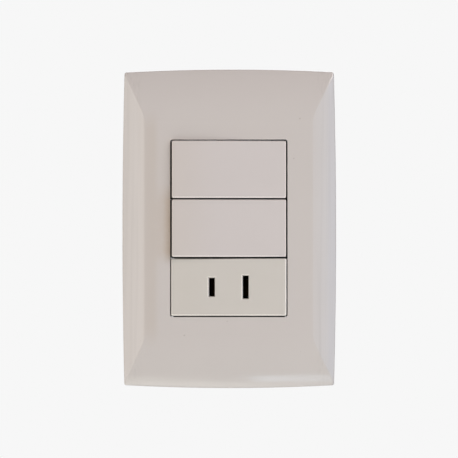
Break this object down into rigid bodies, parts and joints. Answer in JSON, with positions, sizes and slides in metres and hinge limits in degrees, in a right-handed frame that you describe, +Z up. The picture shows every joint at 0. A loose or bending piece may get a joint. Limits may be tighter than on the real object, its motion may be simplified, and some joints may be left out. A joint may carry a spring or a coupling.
{
  "type": "switch and socket combination",
  "caption": "Pillow-shaped wall plate with wide rocker switches above a flat-blade socket, on a steel frame with snap-in modules and tunnel terminals.",
  "frame": {"origin": "midway between the two box screws, on the wall plane", "axes": "+X to the right as seen from the room, +Y into the wall, +Z up"},
  "size_m": [0.0804, 0.0341, 0.12],
  "materials": {
    "cover_plate": "high gloss beige",
    "keys": "satin beige",
    "socket_face": "satin beige",
    "rockers": "satin natural white",
    "plungers": "satin white, self-lubricating",
    "bridges": "fine-grained dark grey",
    "bases": "fine-grained dark grey",
    "mounting_frame": "zinc plated, cold rolled",
    "terminal_blocks": "machined",
    "contact_strips": "rolled strip",
    "socket_contacts": "rolled strip",
    "contact_tips": "silver alloy",
    "terminal_screws": "zinc plated",
    "springs": "drawn spring wire"
  },
  "bodies": {
    "fixed_part": {"cover_plate": "cover_plate", "mounting_frame": "mounting_frame", "upper_switch_pivot_terminal": "contact_strips", "upper_switch_fixed_contact": "contact_strips", "upper_switch_fixed_contact_tip": "contact_tips", "upper_switch_bridge": "bridges", "upper_switch_base": "bases", "upper_switch_left_terminal_block": "terminal_blocks", "upper_switch_right_terminal_block": "terminal_blocks", "upper_switch_left_terminal_screw": "terminal_screws", "upper_switch_right_terminal_screw": "terminal_screws", "lower_switch_pivot_terminal": "contact_strips", "lower_switch_fixed_contact": "contact_strips", "lower_switch_fixed_contact_tip": "contact_tips", "lower_switch_bridge": "bridges", "lower_switch_base": "bases", "lower_switch_left_terminal_block": "terminal_blocks", "lower_switch_right_terminal_block": "terminal_blocks", "lower_switch_left_terminal_screw": "terminal_screws", "lower_switch_right_terminal_screw": "terminal_screws", "socket_front": "socket_face", "socket_left_contact": "socket_contacts", "socket_right_contact": "socket_contacts", "socket_base": "bases", "socket_left_terminal_block": "terminal_blocks", "socket_right_terminal_block": "terminal_blocks", "socket_left_terminal_screw": "terminal_screws", "socket_right_terminal_screw": "terminal_screws"},
    "upper_key": {"upper_switch_key": "keys", "upper_switch_rocker": "rockers", "upper_switch_spring": "springs"},
    "upper_plunger": {"upper_switch_plunger": "plungers"},
    "upper_contact": {"upper_switch_moving_contact": "contact_strips", "upper_switch_moving_contact_tip": "contact_tips"},
    "lower_key": {"lower_switch_key": "keys", "lower_switch_rocker": "rockers", "lower_switch_spring": "springs"},
    "lower_plunger": {"lower_switch_plunger": "plungers"},
    "lower_contact": {"lower_switch_moving_contact": "contact_strips", "lower_switch_moving_contact_tip": "contact_tips"}
  },
  "joints": [
    {"name": "upper_key_rock", "type": "hinge", "parent": "fixed_part", "child": "upper_key", "pos_m": [0, -0.0056, 0.0221], "axis": [0, 0, -1], "range_deg": [0, 6]},
    {"name": "upper_plunger_slide", "type": "slide", "parent": "upper_key", "child": "upper_plunger", "axis": [0.0523, -0.9986, 0], "range_m": [0, 0.0008], "stiffness_N_per_m": 600, "springref_m": -0.0015, "deforming": ["upper_switch_spring"]},
    {"name": "upper_contact_tilt", "type": "hinge", "parent": "fixed_part", "child": "upper_contact", "pos_m": [0, 0.011, 0.0221], "axis": [0, 0, 1], "range_deg": [0, 12]},
    {"name": "lower_key_rock", "type": "hinge", "parent": "fixed_part", "child": "lower_key", "pos_m": [0, -0.0056, 0], "axis": [0, 0, -1], "range_deg": [0, 6]},
    {"name": "lower_plunger_slide", "type": "slide", "parent": "lower_key", "child": "lower_plunger", "axis": [0.0523, -0.9986, 0], "range_m": [0, 0.0008], "stiffness_N_per_m": 600, "springref_m": -0.0015, "deforming": ["lower_switch_spring"]},
    {"name": "lower_contact_tilt", "type": "hinge", "parent": "fixed_part", "child": "lower_contact", "pos_m": [0, 0.011, 0], "axis": [0, 0, 1], "range_deg": [0, 12]}
  ],
  "couplings": [
    {"joint": "upper_contact_tilt", "follows": "upper_key_rock", "ratio": 2},
    {"joint": "lower_contact_tilt", "follows": "lower_key_rock", "ratio": 2}
  ]
}
